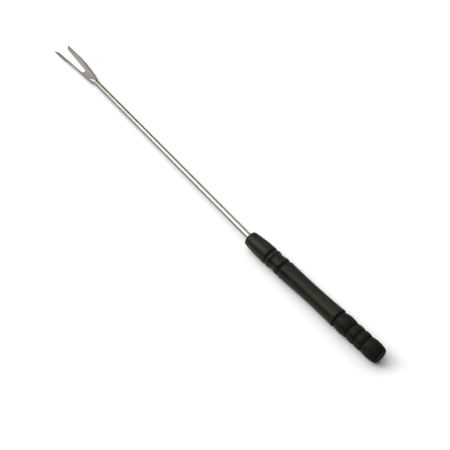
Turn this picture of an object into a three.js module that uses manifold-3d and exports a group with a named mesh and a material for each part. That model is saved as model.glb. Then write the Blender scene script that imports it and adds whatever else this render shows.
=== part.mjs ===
// Marshmallow roasting fork: a turned wooden handle with a stainless tube glued into it. The far end
// of the tube is slit along its top, opened into a trough and split below into two flat-lying tines.
//
// Millimetres, +Z up. The origin is the centre of the pommel's flat end face. +X runs along the
// handle's axis towards the tines. The fork lies as it does on a table: the handle on its beads, the
// tube leaning a little to the side and down until the underside of the tines touches the table.

import * as THREE from 'three';
import { mergeVertices } from 'three/addons/utils/BufferGeometryUtils.js';
import Module from 'manifold-3d';

// ---------------------------------------------------------------- driving dimensions

const HANDLE_LENGTH = 165;
const HANDLE_MAX_RADIUS = 9.05;
const POMMEL_FACE_RADIUS = 5.2;
const MOUTH_FACE_RADIUS = 6.2;
const MOUTH_EDGE_RADIUS = 7.3; // the rounded edge of the mouth bulges towards this

const TUBE_RADIUS = 3;
const TUBE_WALL = 0.5;
const TUBE_EXPOSED = 280; // from the handle's mouth to the start of the slit
const HEAD_LENGTH = 79; // from the start of the slit to the points
const TUBE_SIDE_LEAN = THREE.MathUtils.degToRad(3.4);

const BORE_DEPTH = 42;
const TUBE_INSERTION = 40;
const FIT_GAP = 0.3; // clearance left between pieces that touch
const GLUE_THICKNESS = 0.3;
const GLUE_LENGTH = 36;

const CROTCH_AT = 26.5; // distance of the crotch from the start of the slit
const CROTCH_RADIUS = 2.4;
const TINE_GAP_AT_POINTS = 12; // clear width between the tines at their points
const POINT_CUT_LENGTH = 4.5; // how far the slanted end of each tine runs back
const POINT_CUT_WIDTH = 3.2;
const POINT_REACH = 9.2; // how far the points stand from the centre line

const TURNING_SEGMENTS = 36;
const TUBE_SEGMENTS = 24;
const EDGE_STEPS = 3; // for the rounded edges of the pommel and the mouth
const SHEET_STEPS_ALONG = 30;
const SHEET_STEPS_ACROSS = 20;
const ARC_STEPS = 12;
const MERGE_DISTANCE = 1e-5;
const OVERLAP = 2; // how far cutters and joined solids run into each other
const CUTTER_HEIGHT = 24; // reaches above and below the fork head

const glueInnerRadius = TUBE_RADIUS + FIT_GAP;
const glueOuterRadius = glueInnerRadius + GLUE_THICKNESS;
const boreRadius = glueOuterRadius + FIT_GAP;

// ---------------------------------------------------------------- helpers

const wasm = await Module();
wasm.setup();

function toSolid(geometry) {
  const bare = geometry.clone();
  bare.deleteAttribute('normal');
  bare.deleteAttribute('uv');
  const merged = mergeVertices(bare, MERGE_DISTANCE);
  const mesh = new wasm.Mesh({
    numProp: 3,
    vertProperties: new Float32Array(merged.attributes.position.array),
    triVerts: new Uint32Array(merged.index.array),
  });
  return new wasm.Manifold(mesh);
}

function toGeometry(solid) {
  const mesh = solid.getMesh();
  const geometry = new THREE.BufferGeometry();
  geometry.setAttribute('position', new THREE.BufferAttribute(mesh.vertProperties, 3));
  geometry.setIndex(new THREE.BufferAttribute(mesh.triVerts, 1));
  return geometry;
}

// A profile of (distance along the axis, radius) points turned about the X axis.
function turned(profile, segments) {
  const points = profile.map(([along, radius]) => new THREE.Vector2(radius, along));
  return new THREE.LatheGeometry(points, segments).rotateZ(-Math.PI / 2);
}

// A flat outline in X and Y, made into an upright block.
function uprightCutter(outline) {
  const options = { depth: CUTTER_HEIGHT, bevelEnabled: false, curveSegments: ARC_STEPS };
  return new THREE.ExtrudeGeometry(outline, options).translate(0, 0, -CUTTER_HEIGHT / 2);
}

// ---------------------------------------------------------------- handle

// The turning, from the pommel to the mouth. Each entry is a quadratic curve over a crest or through
// a hollow: where it ends, its radius there, and the radius that it bulges or dips towards.
const POMMEL_EDGE = [1.8, 7.6];
const POMMEL_EDGE_PULL = [0.1, 6.9];
const TURNING = [
  { part: 'pommel', to: 16.6, radius: 7.9, towards: 9.75 },
  { part: 'pommel bead', to: 24.8, radius: 8.0, towards: 9.4 },
  { part: 'bulb bead', to: 33.6, radius: 7.9, towards: 9.5 },
  { part: 'bulb', to: 48.5, radius: 7.6, towards: 10.35 },
  { part: 'barrel shoulder', to: 50.6, radius: 8.9, towards: 8.8 },
  { part: 'barrel', to: 115.8, radius: 9.0, towards: 7.6 },
  { part: 'barrel edge', to: 118.7, radius: 7.75, towards: 9.2 },
  { part: 'rear spool bead', to: 125.2, radius: 8.4, towards: 9.85 },
  { part: 'spool hollow', to: 130.8, radius: 8.4, towards: 7.95 },
  { part: 'front spool bead', to: 136.4, radius: 7.8, towards: 9.85 },
  { part: 'grip shoulder', to: 139.0, radius: 8.95, towards: 8.95 },
  { part: 'grip', to: 163.2, radius: 7.5, towards: 9.0 },
];
const CURVE_STEPS = { barrel: 12, pommel: 7, bulb: 7, grip: 7 };
const DEFAULT_CURVE_STEPS = 4;

function handleProfile() {
  const profile = [[0, 0], [0, POMMEL_FACE_RADIUS]];
  let start = [0, POMMEL_FACE_RADIUS];
  const curveTo = (end, pull, steps) => {
    const [from, control, to] = [start, pull, end].map(([x, y]) => new THREE.Vector2(x, y));
    const points = new THREE.QuadraticBezierCurve(from, control, to).getPoints(steps).slice(1);
    profile.push(...points.map(({ x, y }) => [x, Math.min(y, HANDLE_MAX_RADIUS)]));
    start = end;
  };
  curveTo(POMMEL_EDGE, POMMEL_EDGE_PULL, EDGE_STEPS);
  for (const { part, to, radius, towards } of TURNING) {
    curveTo([to, radius], [(start[0] + to) / 2, towards], CURVE_STEPS[part] ?? DEFAULT_CURVE_STEPS);
  }
  curveTo([HANDLE_LENGTH, MOUTH_FACE_RADIUS], [HANDLE_LENGTH, MOUTH_EDGE_RADIUS], EDGE_STEPS);
  profile.push([HANDLE_LENGTH, 0]);
  return profile;
}

// The tube's axis leaves the mouth to the side, and droops so that the tines' underside reaches the
// table that the beads stand on.
const lowestReach = TUBE_EXPOSED + HEAD_LENGTH - POINT_CUT_LENGTH;
const tubeDroop = Math.asin((HANDLE_MAX_RADIUS - TUBE_RADIUS) / lowestReach);
const tubePlacement = new THREE.Matrix4()
  .makeTranslation(HANDLE_LENGTH, 0, 0)
  .multiply(new THREE.Matrix4().makeRotationZ(-TUBE_SIDE_LEAN))
  .multiply(new THREE.Matrix4().makeRotationY(tubeDroop));

function handleGeometry() {
  const bore = turned([
    [-BORE_DEPTH, 0], [-BORE_DEPTH, boreRadius], [OVERLAP, boreRadius], [OVERLAP, 0],
  ], TUBE_SEGMENTS).applyMatrix4(tubePlacement);
  const blank = toSolid(turned(handleProfile(), TURNING_SEGMENTS));
  return toGeometry(blank.subtract(toSolid(bore)));
}

// ---------------------------------------------------------------- fork tube

// Lengths in this section are measured along the tube from the start of the slit.
// The opened tube's section is a flat floor with a curved wall on each side. At each station:
// distance, half-width of the floor, half-width at the rims, rim height above the tube's axis, and
// half the angle that a wall bends through.
const middleRadius = TUBE_RADIUS - TUBE_WALL / 2;
const SECTIONS = [
  [0, 0, 0, middleRadius, 90],
  [5, 1, 3, 2.35, 80],
  [11, 1.6, 4.65, 1.7, 71],
  [18, 2, 5.75, 1.75, 55],
  [28, 2.4, 6.65, 2, 42],
  [41, 3, 7.8, 1.5, 27],
  [51, 3.6, 8.5, 0.7, 18],
  [61, 4.3, 9.0, -0.3, 12],
  [71, 5.0, 9.1, -0.9, 9],
  [HEAD_LENGTH + OVERLAP, 5.8, 9.0, -1.4, 7],
];
const SECTION_CHANNELS = 4;
const sections = new THREE.CubicInterpolant(
  SECTIONS.map(([along]) => along),
  SECTIONS.flatMap(([, ...channels]) => channels),
  SECTION_CHANNELS,
  new Float32Array(SECTION_CHANNELS),
);

// A point of the opened wall: side from -1 (one rim) to 1 (the other), offset outwards from the
// middle of the sheet.
function wallPoint(along, side, offset) {
  const [floor, rimWidth, rimHeight, bendDegrees] = sections.evaluate(along);
  const bend = THREE.MathUtils.degToRad(bendDegrees);
  const chord = new THREE.Vector2(rimWidth - floor, rimHeight + middleRadius);
  const wallLength = (chord.length() * bend) / Math.sin(bend);
  const travelled = Math.abs(side) * (floor + wallLength);
  let across = travelled;
  let height = -middleRadius;
  let tilt = 0;
  if (travelled > floor) {
    const firstTilt = chord.angle() - bend;
    tilt = firstTilt + (2 * bend * (travelled - floor)) / wallLength;
    const arcRadius = wallLength / (2 * bend);
    across = floor + arcRadius * (Math.sin(tilt) - Math.sin(firstTilt));
    height = -middleRadius + arcRadius * (Math.cos(firstTilt) - Math.cos(tilt));
  }
  across += offset * Math.sin(tilt);
  height -= offset * Math.cos(tilt);
  return new THREE.Vector3(along, Math.sign(side) * across, height);
}

const FIRST_STATION = 0.8; // here the rims stand just clear of each other

function openedSheet() {
  const length = HEAD_LENGTH - FIRST_STATION;
  const sheet = new THREE.BoxGeometry(1, 2, TUBE_WALL, SHEET_STEPS_ALONG, SHEET_STEPS_ACROSS, 1);
  const position = sheet.attributes.position;
  for (let i = 0; i < position.count; i += 1) {
    const along = FIRST_STATION + length * (position.getX(i) + 0.5);
    const point = wallPoint(along, position.getY(i), -position.getZ(i));
    position.setXYZ(i, point.x, point.y, point.z);
  }
  return sheet;
}

function tineGapOutline() {
  const gap = new THREE.Shape();
  const centre = CROTCH_AT + CROTCH_RADIUS;
  const end = HEAD_LENGTH + OVERLAP;
  gap.moveTo(end, TINE_GAP_AT_POINTS / 2);
  gap.lineTo(centre, CROTCH_RADIUS);
  gap.absarc(centre, 0, CROTCH_RADIUS, Math.PI / 2, (3 * Math.PI) / 2);
  gap.lineTo(end, -TINE_GAP_AT_POINTS / 2);
  return gap;
}

// Everything beyond the slanted end of one tine.
function pointCutOutline(side) {
  const slope = POINT_CUT_WIDTH / POINT_CUT_LENGTH;
  const [back, ahead] = [HEAD_LENGTH - 2 * POINT_CUT_LENGTH, HEAD_LENGTH + POINT_CUT_LENGTH];
  const onCut = (along) => [along, POINT_REACH + (along - HEAD_LENGTH) * slope];
  const outline = [onCut(back), [ahead, onCut(back)[1]], onCut(ahead)];
  return new THREE.Shape(outline.map(([x, y]) => new THREE.Vector2(x, side * y)));
}

function forkTubeGeometry() {
  const innerRadius = TUBE_RADIUS - TUBE_WALL;
  const [start, end] = [-TUBE_EXPOSED - TUBE_INSERTION, OVERLAP / 2];
  const tube = toSolid(turned([
    [start, innerRadius], [start, TUBE_RADIUS], [end, TUBE_RADIUS], [end, innerRadius],
    [start, innerRadius],
  ], TUBE_SEGMENTS));
  let fork = tube.add(toSolid(openedSheet()));
  fork = fork.subtract(toSolid(uprightCutter(tineGapOutline())));
  for (const side of [-1, 1]) {
    fork = fork.subtract(toSolid(uprightCutter(pointCutOutline(side))));
  }
  return toGeometry(fork).translate(TUBE_EXPOSED, 0, 0).applyMatrix4(tubePlacement);
}

// ---------------------------------------------------------------- adhesive

function glueGeometry() {
  const [start, end] = [-GLUE_LENGTH - OVERLAP, -OVERLAP];
  return turned([
    [start, glueInnerRadius], [start, glueOuterRadius], [end, glueOuterRadius], [end, glueInnerRadius],
    [start, glueInnerRadius],
  ], TUBE_SEGMENTS).applyMatrix4(tubePlacement);
}

// ---------------------------------------------------------------- assembly

const steel = new THREE.MeshStandardMaterial({ color: 0x8d8b80, roughness: 0.32, metalness: 1 });
const darkWood = new THREE.MeshStandardMaterial({ color: 0x1f1b16, roughness: 0.42, metalness: 0 });
const glue = new THREE.MeshStandardMaterial({ color: 0xb9a06a, roughness: 0.5, metalness: 0 });

function piece(name, geometry, material) {
  const mesh = new THREE.Mesh(geometry, material);
  mesh.name = name;
  return mesh;
}

const roastingFork = new THREE.Group();
roastingFork.add(piece('handle', handleGeometry(), darkWood));
roastingFork.add(piece('fork_tube', forkTubeGeometry(), steel));
roastingFork.add(piece('tube_adhesive', glueGeometry(), glue));

export default roastingFork;
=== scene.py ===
import math

import bmesh
import bpy
from mathutils import Matrix, Vector


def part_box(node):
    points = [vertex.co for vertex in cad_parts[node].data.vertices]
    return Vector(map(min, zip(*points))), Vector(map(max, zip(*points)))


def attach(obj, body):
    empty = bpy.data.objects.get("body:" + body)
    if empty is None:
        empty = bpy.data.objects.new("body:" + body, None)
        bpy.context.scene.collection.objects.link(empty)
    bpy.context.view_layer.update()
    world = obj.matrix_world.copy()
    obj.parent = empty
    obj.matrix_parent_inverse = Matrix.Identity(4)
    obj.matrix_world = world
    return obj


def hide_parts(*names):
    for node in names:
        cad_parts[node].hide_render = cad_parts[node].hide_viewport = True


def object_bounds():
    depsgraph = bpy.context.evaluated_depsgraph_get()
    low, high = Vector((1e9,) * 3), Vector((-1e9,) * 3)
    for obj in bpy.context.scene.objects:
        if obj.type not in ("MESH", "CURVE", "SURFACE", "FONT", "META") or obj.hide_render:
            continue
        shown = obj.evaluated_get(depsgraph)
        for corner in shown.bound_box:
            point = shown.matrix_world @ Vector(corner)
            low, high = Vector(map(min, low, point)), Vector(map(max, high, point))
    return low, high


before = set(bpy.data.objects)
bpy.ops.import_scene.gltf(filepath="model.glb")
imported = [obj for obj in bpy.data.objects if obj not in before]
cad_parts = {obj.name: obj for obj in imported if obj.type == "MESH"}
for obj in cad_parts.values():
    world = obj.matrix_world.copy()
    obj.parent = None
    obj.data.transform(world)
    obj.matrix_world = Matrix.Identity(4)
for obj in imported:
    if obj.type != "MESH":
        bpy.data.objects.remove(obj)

# Marshmallow roasting fork: the visible handle, fork tube and glue, built finely around the CAD frame.
# Everything is in metres in the row frame: the origin is the centre of the pommel's end face, +X runs
# along the handle towards the tines, and +Z is up. Lengths of the design are written in millimetres.

MM = 0.001
cad_low, cad_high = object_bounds()
_, handle_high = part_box("handle")
HANDLE_LENGTH = handle_high.x / MM
HANDLE_MAX_RADIUS = handle_high.z / MM
TABLE_Z = cad_low.z

# ---------------------------------------------------------------- the tube's size and place

TUBE_RADIUS = 3.0
TUBE_WALL = 0.5
TUBE_EXPOSED = 280.0  # from the handle's mouth to the start of the slit
TUBE_INSERTION = 40.0
HEAD_LENGTH = 79.0  # from the start of the slit to the points
POINT_CUT_LENGTH = 4.5  # how far the slanted end of each tine runs back

# The tube leaves the handle's mouth leaning to the side, and droops until the tines reach the
# table that the handle's beads stand on.
CAD_BEAD_RADIUS = 9.05
TUBE_SIDE_LEAN = math.radians(3.4)
TUBE_DROOP = math.asin(
    (CAD_BEAD_RADIUS - TUBE_RADIUS) / (TUBE_EXPOSED + HEAD_LENGTH - POINT_CUT_LENGTH))
TUBE_PLACE = (
    Matrix.Translation((HANDLE_LENGTH * MM, 0, 0))
    @ Matrix.Rotation(-TUBE_SIDE_LEAN, 4, "Z")
    @ Matrix.Rotation(TUBE_DROOP, 4, "Y")
)

# ---------------------------------------------------------------- camera

CAMERA_AZIMUTH = math.radians(230.34)
CAMERA_ELEVATION = math.radians(49.80)
CAMERA_DISTANCE = 0.790
CAMERA_LENS = 67.5
AIM = Vector((HANDLE_LENGTH * MM + 0.02732, 0.00794, 0.0))


def make_camera():
    data = bpy.data.cameras.new("camera")
    data.lens = CAMERA_LENS
    data.sensor_width = 36.0
    data.clip_start = 0.01
    data.clip_end = 20.0
    camera = bpy.data.objects.new("camera", data)
    level = math.cos(CAMERA_ELEVATION)
    back = Vector((
        math.sin(CAMERA_AZIMUTH) * level,
        -math.cos(CAMERA_AZIMUTH) * level,
        math.sin(CAMERA_ELEVATION),
    ))
    camera.location = AIM + back * CAMERA_DISTANCE
    camera.rotation_euler = (-back).to_track_quat("-Z", "Y").to_euler()
    bpy.context.scene.collection.objects.link(camera)
    bpy.context.scene.camera = camera


# ---------------------------------------------------------------- material helpers

# A mix node has sockets of the same names for each kind of value, so its colour sockets are
# reached by their places.
MIX_FACTOR, MIX_FIRST, MIX_SECOND, MIX_COLOUR = 0, 6, 7, 2


class Nodes:
    """A material's node tree, with short calls for the nodes that the finishes share."""

    def __init__(self, name):
        self.material = bpy.data.materials.new(name)
        self.material.use_nodes = True
        self.tree = self.material.node_tree
        self.shader = self.tree.nodes["Principled BSDF"]

    def add(self, kind, **inputs):
        node = self.tree.nodes.new(kind)
        for key, value in inputs.items():
            node.inputs[key.replace("_", " ")].default_value = value
        return node

    def link(self, source, target):
        self.tree.links.new(source, target)

    def position(self, scale, rotation=(0, 0, 0), offset=(0, 0, 0)):
        """Object coordinates, scaled: these stay on the surface, as the pieces are never deformed."""
        coordinates = self.add("ShaderNodeTexCoord")
        mapping = self.add("ShaderNodeMapping", Scale=scale, Rotation=rotation, Location=offset)
        self.link(coordinates.outputs["Object"], mapping.inputs["Vector"])
        return mapping.outputs["Vector"]

    def along_x(self, scale=1.0):
        """The distance along X, scaled, as a single value."""
        split = self.add("ShaderNodeSeparateXYZ")
        self.link(self.position((scale, 1.0, 1.0)), split.inputs["Vector"])
        return split.outputs["X"]

    def noise(self, where, detail=4.0, roughness=0.55, distortion=0.0):
        node = self.add("ShaderNodeTexNoise", Scale=1.0, Detail=detail,
                        Roughness=roughness, Distortion=distortion)
        self.link(where, node.inputs["Vector"])
        return node.outputs["Fac"]

    def ramp(self, value, *stops):
        """Maps a value to the grey level or colour of the stops, each (place, level or colour)."""
        node = self.add("ShaderNodeValToRGB")
        elements = node.color_ramp.elements
        while len(elements) < len(stops):
            elements.new(0.5)
        for element, (place, level) in zip(elements, stops):
            colour = level if isinstance(level, tuple) else (level, level, level)
            element.position = place
            element.color = (*colour, 1.0)
        self.link(value, node.inputs["Fac"])
        return node.outputs["Color"]

    def mix(self, factor, first, second):
        """Goes from the first colour to the second as the factor goes from 0 to 1."""
        node = self.tree.nodes.new("ShaderNodeMix")
        node.data_type = "RGBA"
        self.link(factor, node.inputs[MIX_FACTOR])
        for socket, value in ((node.inputs[MIX_FIRST], first), (node.inputs[MIX_SECOND], second)):
            if isinstance(value, bpy.types.NodeSocket):
                self.link(value, socket)
            else:
                socket.default_value = (*value, 1.0)
        return node.outputs[MIX_COLOUR]

    def math(self, operation, first, second):
        node = self.tree.nodes.new("ShaderNodeMath")
        node.operation = operation
        for socket, value in zip(node.inputs, (first, second)):
            if isinstance(value, bpy.types.NodeSocket):
                self.link(value, socket)
            else:
                socket.default_value = value
        return node.outputs[0]

    def bump(self, height, strength, distance, after=None):
        node = self.add("ShaderNodeBump", Strength=strength, Distance=distance)
        self.link(height, node.inputs["Height"])
        if after is not None:
            self.link(after, node.inputs["Normal"])
        return node.outputs["Normal"]


# ---------------------------------------------------------------- finishes

# Stops of (place, amount), where places run from 0 at the pommel to 1 at the mouth.
WORN_BY_HAND = ((0.0, 0.0), (0.05, 0.1), (0.12, 0.3), (0.2, 0.1), (0.24, 0.0), (0.28, 0.0),
                (0.31, 0.75), (0.45, 0.6), (0.68, 0.35), (0.8, 0.3), (0.84, 0.75), (1.0, 0.6))
THIN_STAIN = ((0.0, 0.0), (0.29, 0.1), (0.33, 0.9), (0.6, 0.9), (0.74, 0.2), (1.0, 0.3))
DULL_BY_THE_POMMEL = ((0.0, 0.38), (0.06, 0.22), (0.22, 0.12), (0.29, 0.14), (0.31, 0.0), (1.0, 0.0))

# The grooves of the turning, in millimetres from the pommel's face, are duller, and their colour is
# darkened as painted shade.
GROOVES_AT = (16.6, 24.8, 33.6, 49.0, 118.7, 136.4)
GROOVE_HALF_WIDTH = 1.7
GROOVE_DULLNESS = 0.4

# Each pair of tones is the darkest and the lightest of the wood's streaks.
STAINED_TONES = ((0.0010, 0.0012, 0.0008), (0.0034, 0.0038, 0.0026))
HANDLED_TONES = ((0.0080, 0.0082, 0.0040), (0.0170, 0.0168, 0.0070))
BROWN_TONES = ((0.0135, 0.0105, 0.0038), (0.0300, 0.0210, 0.0080))
PORE_TONE = (0.0010, 0.0010, 0.0008)
# The near-black of the painted shade in the grooves.
GROOVE_SHADE_TONE = (0.0006, 0.0007, 0.0005)


def dark_wood():
    """Black-stained close-grained hardwood, oiled, and worn browner where the hand holds it."""
    n = Nodes("dark_wood")
    streaks = n.noise(n.position((22.0, 420.0, 420.0)), detail=6.0, roughness=0.62, distortion=0.4)
    pores = n.noise(n.position((70.0, 2300.0, 2300.0)), detail=3.0, roughness=0.6)
    blotches = n.noise(n.position((60.0, 150.0, 150.0), offset=(0.35, 0.2, 0.9)), distortion=1.2)
    turning = n.noise(n.position((1500.0, 6.0, 6.0)), detail=2.0)

    along_handle = n.along_x(1 / (HANDLE_LENGTH * MM))
    worn = n.ramp(along_handle, *WORN_BY_HAND)
    groove_stops = [((groove + step) / HANDLE_LENGTH, depth) for groove in GROOVES_AT
                    for step, depth in ((-GROOVE_HALF_WIDTH, 0.0), (0.0, 1.0), (GROOVE_HALF_WIDTH, 0.0))]
    grooves = n.ramp(along_handle, *groove_stops)

    stain_streaks = n.ramp(streaks, (0.35, 0.0), (0.7, 1.0))
    colour = n.mix(worn, n.mix(stain_streaks, *STAINED_TONES), n.mix(stain_streaks, *HANDLED_TONES))
    thin_blotches = n.ramp(blotches, (0.46, 0.0), (0.66, 1.0))
    thin_stain = n.math("MULTIPLY", thin_blotches, n.ramp(along_handle, *THIN_STAIN))
    colour = n.mix(thin_stain, colour, n.mix(n.ramp(streaks, (0.3, 0.0), (0.75, 1.0)), *BROWN_TONES))
    colour = n.mix(n.ramp(pores, (0.33, 0.8), (0.46, 0.0)), colour, PORE_TONE)
    # Painted shade: the grooves' colour goes towards a near-black tone.
    n.link(n.mix(grooves, colour, GROOVE_SHADE_TONE), n.shader.inputs["Base Color"])

    streaky = n.ramp(streaks, (0.3, 0.0), (0.75, 0.08))
    blotchy = n.ramp(blotches, (0.4, 0.31), (0.7, 0.38))
    dullness = n.math("ADD", n.math("ADD", streaky, blotchy), n.ramp(along_handle, *DULL_BY_THE_POMMEL))
    dullness = n.math("ADD", dullness, n.math("MULTIPLY", grooves, GROOVE_DULLNESS))
    n.link(dullness, n.shader.inputs["Roughness"])

    grain = n.math("ADD", n.math("MULTIPLY", pores, 0.6), n.math("MULTIPLY", streaks, 0.4))
    turned_surface = n.bump(turning, strength=0.10, distance=0.0001)
    n.link(n.bump(grain, strength=0.22, distance=0.00012, after=turned_surface), n.shader.inputs["Normal"])
    n.shader.inputs["Specular IOR Level"].default_value = 0.125
    n.shader.inputs["Specular Tint"].default_value = (0.98, 1.0, 0.9, 1.0)
    return n.material


STRAW_TONE = (0.27, 0.205, 0.145)


def steel(name, bare_tones, scorched_tone, polish, worked_dullness, metallic):
    """Drawn stainless tube: fine lengthwise lines, handling marks, and colours from the fire."""
    n = Nodes(name)
    tube_direction = (0.0, 0.0, TUBE_SIDE_LEAN)
    drawn = n.noise(n.position((30.0, 2600.0, 2600.0), rotation=tube_direction), detail=3.0, roughness=0.6)
    handling = n.noise(n.position((55.0, 160.0, 160.0)), distortion=0.6)
    tint = n.noise(n.position((60.0, 120.0, 120.0), offset=(0.3, 0.1, 0.0)), detail=2.0)

    head_start = (HANDLE_LENGTH + TUBE_EXPOSED) * MM
    along_head = n.math("DIVIDE", n.math("SUBTRACT", n.along_x(), head_start), HEAD_LENGTH * MM)

    marks = n.math("ADD", n.math("MULTIPLY", drawn, 0.5), n.math("MULTIPLY", handling, 0.5))
    bare = n.mix(n.ramp(marks, (0.36, 0.0), (0.64, 1.0)), *bare_tones)
    heated = n.ramp(along_head, (0.1, 0.0), (0.4, 1.0))
    straw = n.math("MULTIPLY", n.ramp(tint, (0.45, 0.0), (0.65, 0.5)), heated)
    scorched = n.ramp(along_head, (0.5, 0.0), (1.0, 0.9))
    n.link(n.mix(scorched, n.mix(straw, bare, STRAW_TONE), scorched_tone), n.shader.inputs["Base Color"])

    worked = n.ramp(along_head, (0.0, 0.0), (0.1, worked_dullness), (0.5, worked_dullness), (0.8, 0.0))
    low, high = polish
    n.link(n.math("ADD", n.ramp(handling, (0.3, low), (0.7, high)), worked), n.shader.inputs["Roughness"])
    n.link(n.bump(drawn, strength=0.08, distance=0.00004), n.shader.inputs["Normal"])
    n.shader.inputs["Metallic"].default_value = metallic
    return n.material


def tube_finishes():
    """The dull inside of the tube, which shows where it's opened, and its polished outside."""
    outside = steel(
        "steel", bare_tones=((0.255, 0.25, 0.215), (0.295, 0.29, 0.25)),
        scorched_tone=(0.16, 0.155, 0.135), polish=(0.235, 0.265), worked_dullness=0.17, metallic=1.0)
    inside = steel(
        "steel_inside", bare_tones=((0.205, 0.203, 0.176), (0.262, 0.259, 0.229)),
        scorched_tone=(0.13, 0.126, 0.112), polish=(0.5, 0.62), worked_dullness=0.0, metallic=0.3)
    return inside, outside


def amber_glue():
    """Cured epoxy: clear amber with fine bubbles."""
    n = Nodes("adhesive")
    bubbles = n.noise(n.position((2200.0, 2200.0, 2200.0)), detail=2.0)
    cloud = n.noise(n.position((500.0, 500.0, 500.0)), detail=2.0)
    amber = n.ramp(cloud, (0.3, (0.16, 0.10, 0.04)), (0.7, (0.30, 0.21, 0.09)))
    n.link(amber, n.shader.inputs["Base Color"])
    n.link(n.ramp(bubbles, (0.3, 0.22), (0.7, 0.42)), n.shader.inputs["Roughness"])
    n.link(n.bump(bubbles, strength=0.15, distance=0.0001), n.shader.inputs["Normal"])
    return n.material


def table_finish():
    """Plain white card with the faintest mottle."""
    n = Nodes("table")
    mottle = n.noise(n.position((3.0, 3.0, 3.0)), detail=2.0)
    n.link(n.ramp(mottle, (0.3, 0.945), (0.7, 0.955)), n.shader.inputs["Base Color"])
    n.shader.inputs["Roughness"].default_value = 0.7
    n.shader.inputs["Specular IOR Level"].default_value = 0.2
    return n.material


# ---------------------------------------------------------------- mesh helpers


def make_piece(name, mesh_data, materials, slot, *nodes):
    """A smooth-shaded piece on the fork's one body, in place of the CAD nodes named."""
    vertices, faces = mesh_data
    mesh = bpy.data.meshes.new(name)
    mesh.from_pydata(vertices, [], faces)
    bm = bmesh.new()
    bm.from_mesh(mesh)
    bmesh.ops.recalc_face_normals(bm, faces=bm.faces)
    bm.to_mesh(mesh)
    bm.free()
    for material in materials:
        mesh.materials.append(material)
    for polygon in mesh.polygons:
        polygon.use_smooth = True
    piece = bpy.data.objects.new(name, mesh)
    bpy.context.scene.collection.objects.link(piece)
    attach(piece, "root")
    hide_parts(*nodes)
    return piece


def bezier(first, pull, last, steps):
    """Points of a quadratic curve after its first one."""
    points = []
    for i in range(1, steps + 1):
        t = i / steps
        points.append(tuple(
            (1 - t) ** 2 * a + 2 * t * (1 - t) * b + t * t * c for a, b, c in zip(first, pull, last)))
    return points


def add_ring(vertices, along, radius, count, place=None):
    """Adds a ring of points about the X axis, or about the axis of the place, in millimetres."""
    start = len(vertices)
    for i in range(count):
        angle = 2 * math.pi * i / count
        point = Vector((along, radius * math.cos(angle), radius * math.sin(angle))) * MM
        vertices.append(place @ point if place else point)
    return start


def ring_faces(first_ring, second_ring, count):
    """Four-sided faces between two rings, each given by its first point."""
    return [(first_ring + i, first_ring + (i + 1) % count, second_ring + (i + 1) % count, second_ring + i)
            for i in range(count)]


# ---------------------------------------------------------------- handle

# The turning from the pommel to the mouth, as in the CAD source: where each curve ends, its radius
# there, and the radius that it bulges or dips towards.
POMMEL_FACE_RADIUS = 5.2
POMMEL_FACE_RINGS = (0.04, 0.5)  # as shares of the face's radius
POMMEL_EDGE = (1.8, 7.6)
POMMEL_EDGE_PULL = (0.1, 6.9)
MOUTH_EDGE_RADIUS = 7.3  # the rounded edge of the mouth bulges towards this
MOUTH_FACE_RADIUS = 6.2
TURNING = (
    (16.6, 7.9, 9.75),    # pommel
    (24.8, 8.0, 9.4),     # pommel bead
    (33.6, 7.9, 9.5),     # bulb bead
    (48.5, 7.6, 10.35),   # bulb
    (50.6, 8.9, 8.8),     # barrel shoulder
    (115.8, 9.0, 7.6),    # barrel
    (118.7, 7.75, 9.2),   # barrel edge
    (125.2, 8.4, 9.85),   # rear spool bead
    (130.8, 8.4, 7.95),   # spool hollow
    (136.4, 7.8, 9.85),   # front spool bead
    (139.0, 8.95, 8.95),  # grip shoulder
    (163.2, 7.5, 9.0),    # grip
)
TURNING_SEGMENTS = 144
RING_SPACING = 0.45
FEWEST_RINGS = 8
MOUTH_EDGE_RINGS = 10

BORE_RADIUS = 3.9
BORE_DEPTH = 42.0
# Distance from the mouth along the tube, and radius: a lip close round the tube hides the glue's end.
BORE = ((0.0, 3.35), (-0.2, 3.15), (-1.4, 3.15), (-1.75, BORE_RADIUS), (-BORE_DEPTH, BORE_RADIUS))


def handle_profile():
    """(along, radius) from the edge of the pommel's face to the edge of the mouth's face."""
    start = (0.0, POMMEL_FACE_RADIUS)
    profile = [start] + bezier(start, POMMEL_EDGE_PULL, POMMEL_EDGE, FEWEST_RINGS)
    start = POMMEL_EDGE
    for end_at, end_radius, towards in TURNING:
        steps = max(FEWEST_RINGS, round((end_at - start[0]) / RING_SPACING))
        end = (end_at, end_radius)
        profile += bezier(start, ((start[0] + end_at) / 2, towards), end, steps)
        start = end
    mouth_pull, mouth_face = (HANDLE_LENGTH, MOUTH_EDGE_RADIUS), (HANDLE_LENGTH, MOUTH_FACE_RADIUS)
    profile += bezier(start, mouth_pull, mouth_face, MOUTH_EDGE_RINGS)
    return [(along, min(radius, HANDLE_MAX_RADIUS)) for along, radius in profile]


def handle_mesh():
    """The pommel's flat face, the turned outside, and the bore with its lip."""
    vertices, rings = [], []
    for share in POMMEL_FACE_RINGS:
        rings.append(add_ring(vertices, 0.0, POMMEL_FACE_RADIUS * share, TURNING_SEGMENTS))
    for along, radius in handle_profile():
        rings.append(add_ring(vertices, along, radius, TURNING_SEGMENTS))
    for along, radius in BORE:
        rings.append(add_ring(vertices, along, radius, TURNING_SEGMENTS, TUBE_PLACE))
    faces = [tuple(range(rings[0], rings[0] + TURNING_SEGMENTS))]
    for first, second in zip(rings, rings[1:]):
        faces += ring_faces(first, second, TURNING_SEGMENTS)
    faces.append(tuple(range(rings[-1], rings[-1] + TURNING_SEGMENTS)))
    return vertices, faces


# ---------------------------------------------------------------- fork tube

MIDDLE_RADIUS = TUBE_RADIUS - TUBE_WALL / 2  # of the middle of the sheet, which the mesh follows

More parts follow.
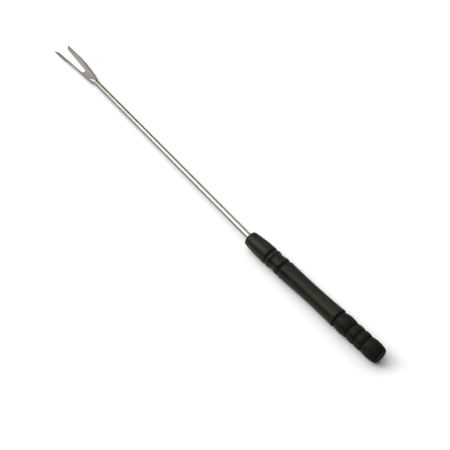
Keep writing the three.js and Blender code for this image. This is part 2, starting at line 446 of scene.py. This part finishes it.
# Sections of the opened tube, as in the CAD source: distance from the start of the slit, half-width
# of the floor, half-width at the rims, height of the rims and half the angle a wall bends through.
SECTIONS = (
    (0.0, 0.0, 0.0, MIDDLE_RADIUS, 90.0),
    (5.0, 1.0, 3.0, 2.35, 80.0),
    (11.0, 1.6, 4.65, 1.7, 71.0),
    (18.0, 2.0, 5.75, 1.75, 55.0),
    (28.0, 2.4, 6.65, 2.0, 42.0),
    (41.0, 3.0, 7.8, 1.5, 27.0),
    (51.0, 3.6, 8.5, 0.7, 18.0),
    (61.0, 4.3, 9.0, -0.3, 12.0),
    (71.0, 5.0, 9.1, -0.9, 9.0),
    (81.0, 5.8, 9.0, -1.4, 7.0),
)
SECTION_CHANNELS = (1, 2, 3, 4)


def section_at(along):
    """The four measures of the section there, from a smooth curve through the stated ones."""
    along = min(max(along, SECTIONS[0][0]), SECTIONS[-1][0])
    last = len(SECTIONS) - 1
    i = next(k for k in range(last) if along <= SECTIONS[k + 1][0])
    length = SECTIONS[i + 1][0] - SECTIONS[i][0]
    t = (along - SECTIONS[i][0]) / length

    def slope(k, channel):
        rises = [
            (SECTIONS[j + 1][channel] - SECTIONS[j][channel]) / (SECTIONS[j + 1][0] - SECTIONS[j][0])
            for j in (k - 1, k) if 0 <= j < last
        ]
        return sum(rises) / len(rises)

    values = []
    for channel in SECTION_CHANNELS:
        a, b = SECTIONS[i][channel], SECTIONS[i + 1][channel]
        ma, mb = slope(i, channel) * length, slope(i + 1, channel) * length
        values.append(
            (2 * t**3 - 3 * t**2 + 1) * a + (t**3 - 2 * t**2 + t) * ma
            + (3 * t**2 - 2 * t**3) * b + (t**3 - t**2) * mb)
    return values


def wall_point(along, share):
    """(across, height) on the middle of the sheet: share runs from 0 at the bottom to 1 at the rim."""
    floor, rim_width, rim_height, bend_degrees = section_at(along)
    bend = math.radians(bend_degrees)
    chord = Vector((rim_width - floor, rim_height + MIDDLE_RADIUS))
    wall_length = chord.length * bend / math.sin(bend)
    travelled = share * (floor + wall_length)
    if travelled <= floor:
        return travelled, -MIDDLE_RADIUS
    first_tilt = math.atan2(chord.y, chord.x) - bend
    tilt = first_tilt + 2 * bend * (travelled - floor) / wall_length
    arc = wall_length / (2 * bend)
    return (floor + arc * (math.sin(tilt) - math.sin(first_tilt)),
            -MIDDLE_RADIUS + arc * (math.cos(first_tilt) - math.cos(tilt)))


CROTCH_AT = 26.5
CROTCH_RADIUS = 2.4
TINE_GAP_AT_POINTS = 12.0
GAP_RUN_OUT = 2.0  # the gap reaches that width this far beyond the points


def gap_half_width(along):
    """Half the clear width between the tines: a round crotch, then straight sides."""
    centre = CROTCH_AT + CROTCH_RADIUS
    if along <= CROTCH_AT:
        return 0.0
    if along < centre:
        return math.sqrt(CROTCH_RADIUS**2 - (centre - along) ** 2)
    share = (along - centre) / (HEAD_LENGTH + GAP_RUN_OUT - centre)
    return CROTCH_RADIUS + share * (TINE_GAP_AT_POINTS / 2 - CROTCH_RADIUS)


HALVINGS = 30


def share_at(along, across):
    """How far round the wall the point at that distance from the centre line is, by halving."""
    low, high = 0.0, 1.0
    for _ in range(HALVINGS):
        middle = (low + high) / 2
        if wall_point(along, middle)[0] < across:
            low = middle
        else:
            high = middle
    return (low + high) / 2


COLUMNS = 28  # across each half of the sheet
STRAIGHT_FROM = 60.0  # beyond this the rows slant towards the slanted ends
CLOSED_ROWS = 40
OPENED_ROWS = 40
CROTCH_ROWS = 12
TINE_ROWS = 34
POINT_ROWS = 22
ROWS_BEFORE_SLIT = (-4.0, -2.0, -1.0, 0.0)
ROW_CROWDING = 1.3  # gathers the rows towards the start of the slit


def tube_stations():
    """Where the rows of the closed tube, the trough, the tines and the points lie.

    A row of the points lies at STRAIGHT_FROM plus its share, up to 1, of the way to the ends.
    """
    start = -(TUBE_EXPOSED + TUBE_INSERTION)
    closed = [start - start * i / CLOSED_ROWS for i in range(CLOSED_ROWS)] + list(ROWS_BEFORE_SLIT)
    opened = [CROTCH_AT * (i / OPENED_ROWS) ** ROW_CROWDING for i in range(1, OPENED_ROWS + 1)]
    crotch = [CROTCH_AT + CROTCH_RADIUS * (1 - math.cos(math.pi / 2 * i / CROTCH_ROWS))
              for i in range(1, CROTCH_ROWS + 1)]
    after = crotch[-1]
    tines = [after + (STRAIGHT_FROM - after) * i / TINE_ROWS for i in range(1, TINE_ROWS + 1)]
    points = [STRAIGHT_FROM + i / POINT_ROWS for i in range(1, POINT_ROWS + 1)]
    return closed, opened, crotch + tines, points


def fork_mesh():
    """The middle of the sheet as one grid: a closed tube, a trough, and two tines."""
    vertices, faces = [], []
    closed, opened, tines, points = tube_stations()

    def add(along, share, side):
        across, height = wall_point(max(along, 0.0), share)
        vertices.append(TUBE_PLACE @ (Vector((TUBE_EXPOSED + along, side * across, height)) * MM))
        return len(vertices) - 1

    def join(first, second):
        for j in range(len(first) - 1):
            faces.append((first[j], first[j + 1], second[j + 1], second[j]))

    rows = []
    for along in closed:
        left = [add(along, j / COLUMNS, -1) for j in range(COLUMNS, 0, -1)]
        right = [add(along, j / COLUMNS, 1) for j in range(0, COLUMNS)]
        rows.append(left + right + left[:1])
    for along in opened:
        left = [add(along, j / COLUMNS, -1) for j in range(COLUMNS, 0, -1)]
        rows.append(left + [add(along, j / COLUMNS, 1) for j in range(0, COLUMNS + 1)])
    for first, second in zip(rows, rows[1:]):
        join(first, second)

    def slanted(along, j):
        """The row's place in that column: the rows of the points turn to the slant of the ends."""
        if along <= STRAIGHT_FROM:
            return along
        end = HEAD_LENGTH - POINT_CUT_LENGTH * (1 - j / COLUMNS)
        return STRAIGHT_FROM + (end - STRAIGHT_FROM) * (along - STRAIGHT_FROM)

    crotch_row = rows[-1]
    for side, previous in ((-1, crotch_row[COLUMNS::-1]), (1, crotch_row[COLUMNS:])):
        for along in tines + points:
            row = []
            for j in range(COLUMNS + 1):
                place = slanted(along, j)
                inner = share_at(place, gap_half_width(place))
                row.append(add(place, inner + (1 - inner) * j / COLUMNS, side))
            join(previous, row)
            previous = row
    return vertices, faces


EDGE_BREAK = 0.08
EDGE_BREAK_SEGMENTS = 2
SHARPEST_UNBROKEN_EDGE = math.radians(50)
INSIDE_FINISH, OUTSIDE_FINISH = 0, 1


def thicken(piece):
    """Gives the sheet its wall, then breaks the cut edges as filing does."""
    wall = piece.modifiers.new("wall", "SOLIDIFY")
    wall.thickness = TUBE_WALL * MM
    wall.offset = 0.0
    wall.use_even_offset = True
    wall.material_offset = OUTSIDE_FINISH - INSIDE_FINISH
    wall.material_offset_rim = OUTSIDE_FINISH - INSIDE_FINISH
    edges = piece.modifiers.new("filed_edges", "BEVEL")
    edges.width = EDGE_BREAK * MM
    edges.segments = EDGE_BREAK_SEGMENTS
    edges.limit_method = "ANGLE"
    edges.angle_limit = SHARPEST_UNBROKEN_EDGE
    edges.harden_normals = True


# ---------------------------------------------------------------- glue

# Places along the glue are measured from the mouth, and are negative inside the handle.
GLUE_LENGTH = 36.0
GLUE_CLEARANCE = 0.04  # to the tube and to the bore
GLUE_SEGMENTS = 96
GLUE_END_OUTSIDE = -2.1
GLUE_END_HOLLOW = -3.2
GLUE_END_INSIDE = -2.0
GLUE_END_RINGS = 6


def glue_mesh():
    """A sleeve round the tube whose end, behind the mouth's lip, is hollowed as wetted glue is."""
    inner, outer = TUBE_RADIUS + GLUE_CLEARANCE, BORE_RADIUS - GLUE_CLEARANCE
    edge, hollow = (GLUE_END_OUTSIDE, outer), (GLUE_END_HOLLOW, (inner + outer) / 2)
    outline = [(-GLUE_LENGTH, inner), (-GLUE_LENGTH, outer), edge]
    outline += bezier(edge, hollow, (GLUE_END_INSIDE, inner), GLUE_END_RINGS)
    vertices, faces = [], []
    rings = [add_ring(vertices, along, radius, GLUE_SEGMENTS, TUBE_PLACE) for along, radius in outline]
    for first, second in zip(rings, rings[1:] + rings[:1]):
        faces += ring_faces(first, second, GLUE_SEGMENTS)
    return vertices, faces


# ---------------------------------------------------------------- table and light

TABLE_HALF_WIDTH = 4.0


def make_table():
    mesh = bpy.data.meshes.new("table")
    corners = [(x * TABLE_HALF_WIDTH, y * TABLE_HALF_WIDTH, TABLE_Z)
               for x, y in ((-1, -1), (1, -1), (1, 1), (-1, 1))]
    mesh.from_pydata(corners, [], [(0, 1, 2, 3)])
    mesh.materials.append(table_finish())
    table = bpy.data.objects.new("table", mesh)
    bpy.context.scene.collection.objects.link(table)


def soft_box(name, direction, distance, size, power):
    """A rectangular light that faces the handle's mouth from that direction."""
    data = bpy.data.lights.new(name, "AREA")
    data.shape = "RECTANGLE"
    data.size, data.size_y = size
    data.energy = power
    light = bpy.data.objects.new(name, data)
    middle = Vector((HANDLE_LENGTH * MM, 0, 0))
    towards = Vector(direction).normalized()
    light.location = middle + towards * distance
    light.rotation_euler = (-towards).to_track_quat("-Z", "Y").to_euler()
    bpy.context.scene.collection.objects.link(light)


ROOM_BRIGHTNESS = 0.2


def light_scene():
    """A wide box overhead, two beyond the fork's head, a far fill and a dim room."""
    soft_box("overhead_box", (0.34, 0.22, 0.90), 1.6, (1.9, 1.15), 17.2)
    soft_box("head_end_box", (0.62, 0.46, 0.64), 2.5, (1.4, 1.3), 34.0)
    soft_box("head_top_box", (0.69, -0.16, 0.71), 2.1, (0.45, 0.45), 2.4)
    soft_box("far_fill", (0.20, -0.62, 0.74), 1.6, (1.4, 1.2), 7.5)
    world = bpy.data.worlds.new("studio")
    world.use_nodes = True
    background = world.node_tree.nodes["Background"]
    background.inputs["Color"].default_value = (1.0, 1.0, 1.0, 1.0)
    background.inputs["Strength"].default_value = ROOM_BRIGHTNESS
    bpy.context.scene.world = world
    bpy.context.scene.view_settings.view_transform = "Standard"


# ---------------------------------------------------------------- assembly

make_camera()
make_piece("handle_turned", handle_mesh(), [dark_wood()], "dark_wood", "handle")
thicken(make_piece("fork_tube_formed", fork_mesh(), tube_finishes(), "steel", "fork_tube"))
make_piece("tube_glue", glue_mesh(), [amber_glue()], "adhesive", "tube_adhesive")
make_table()
light_scene()
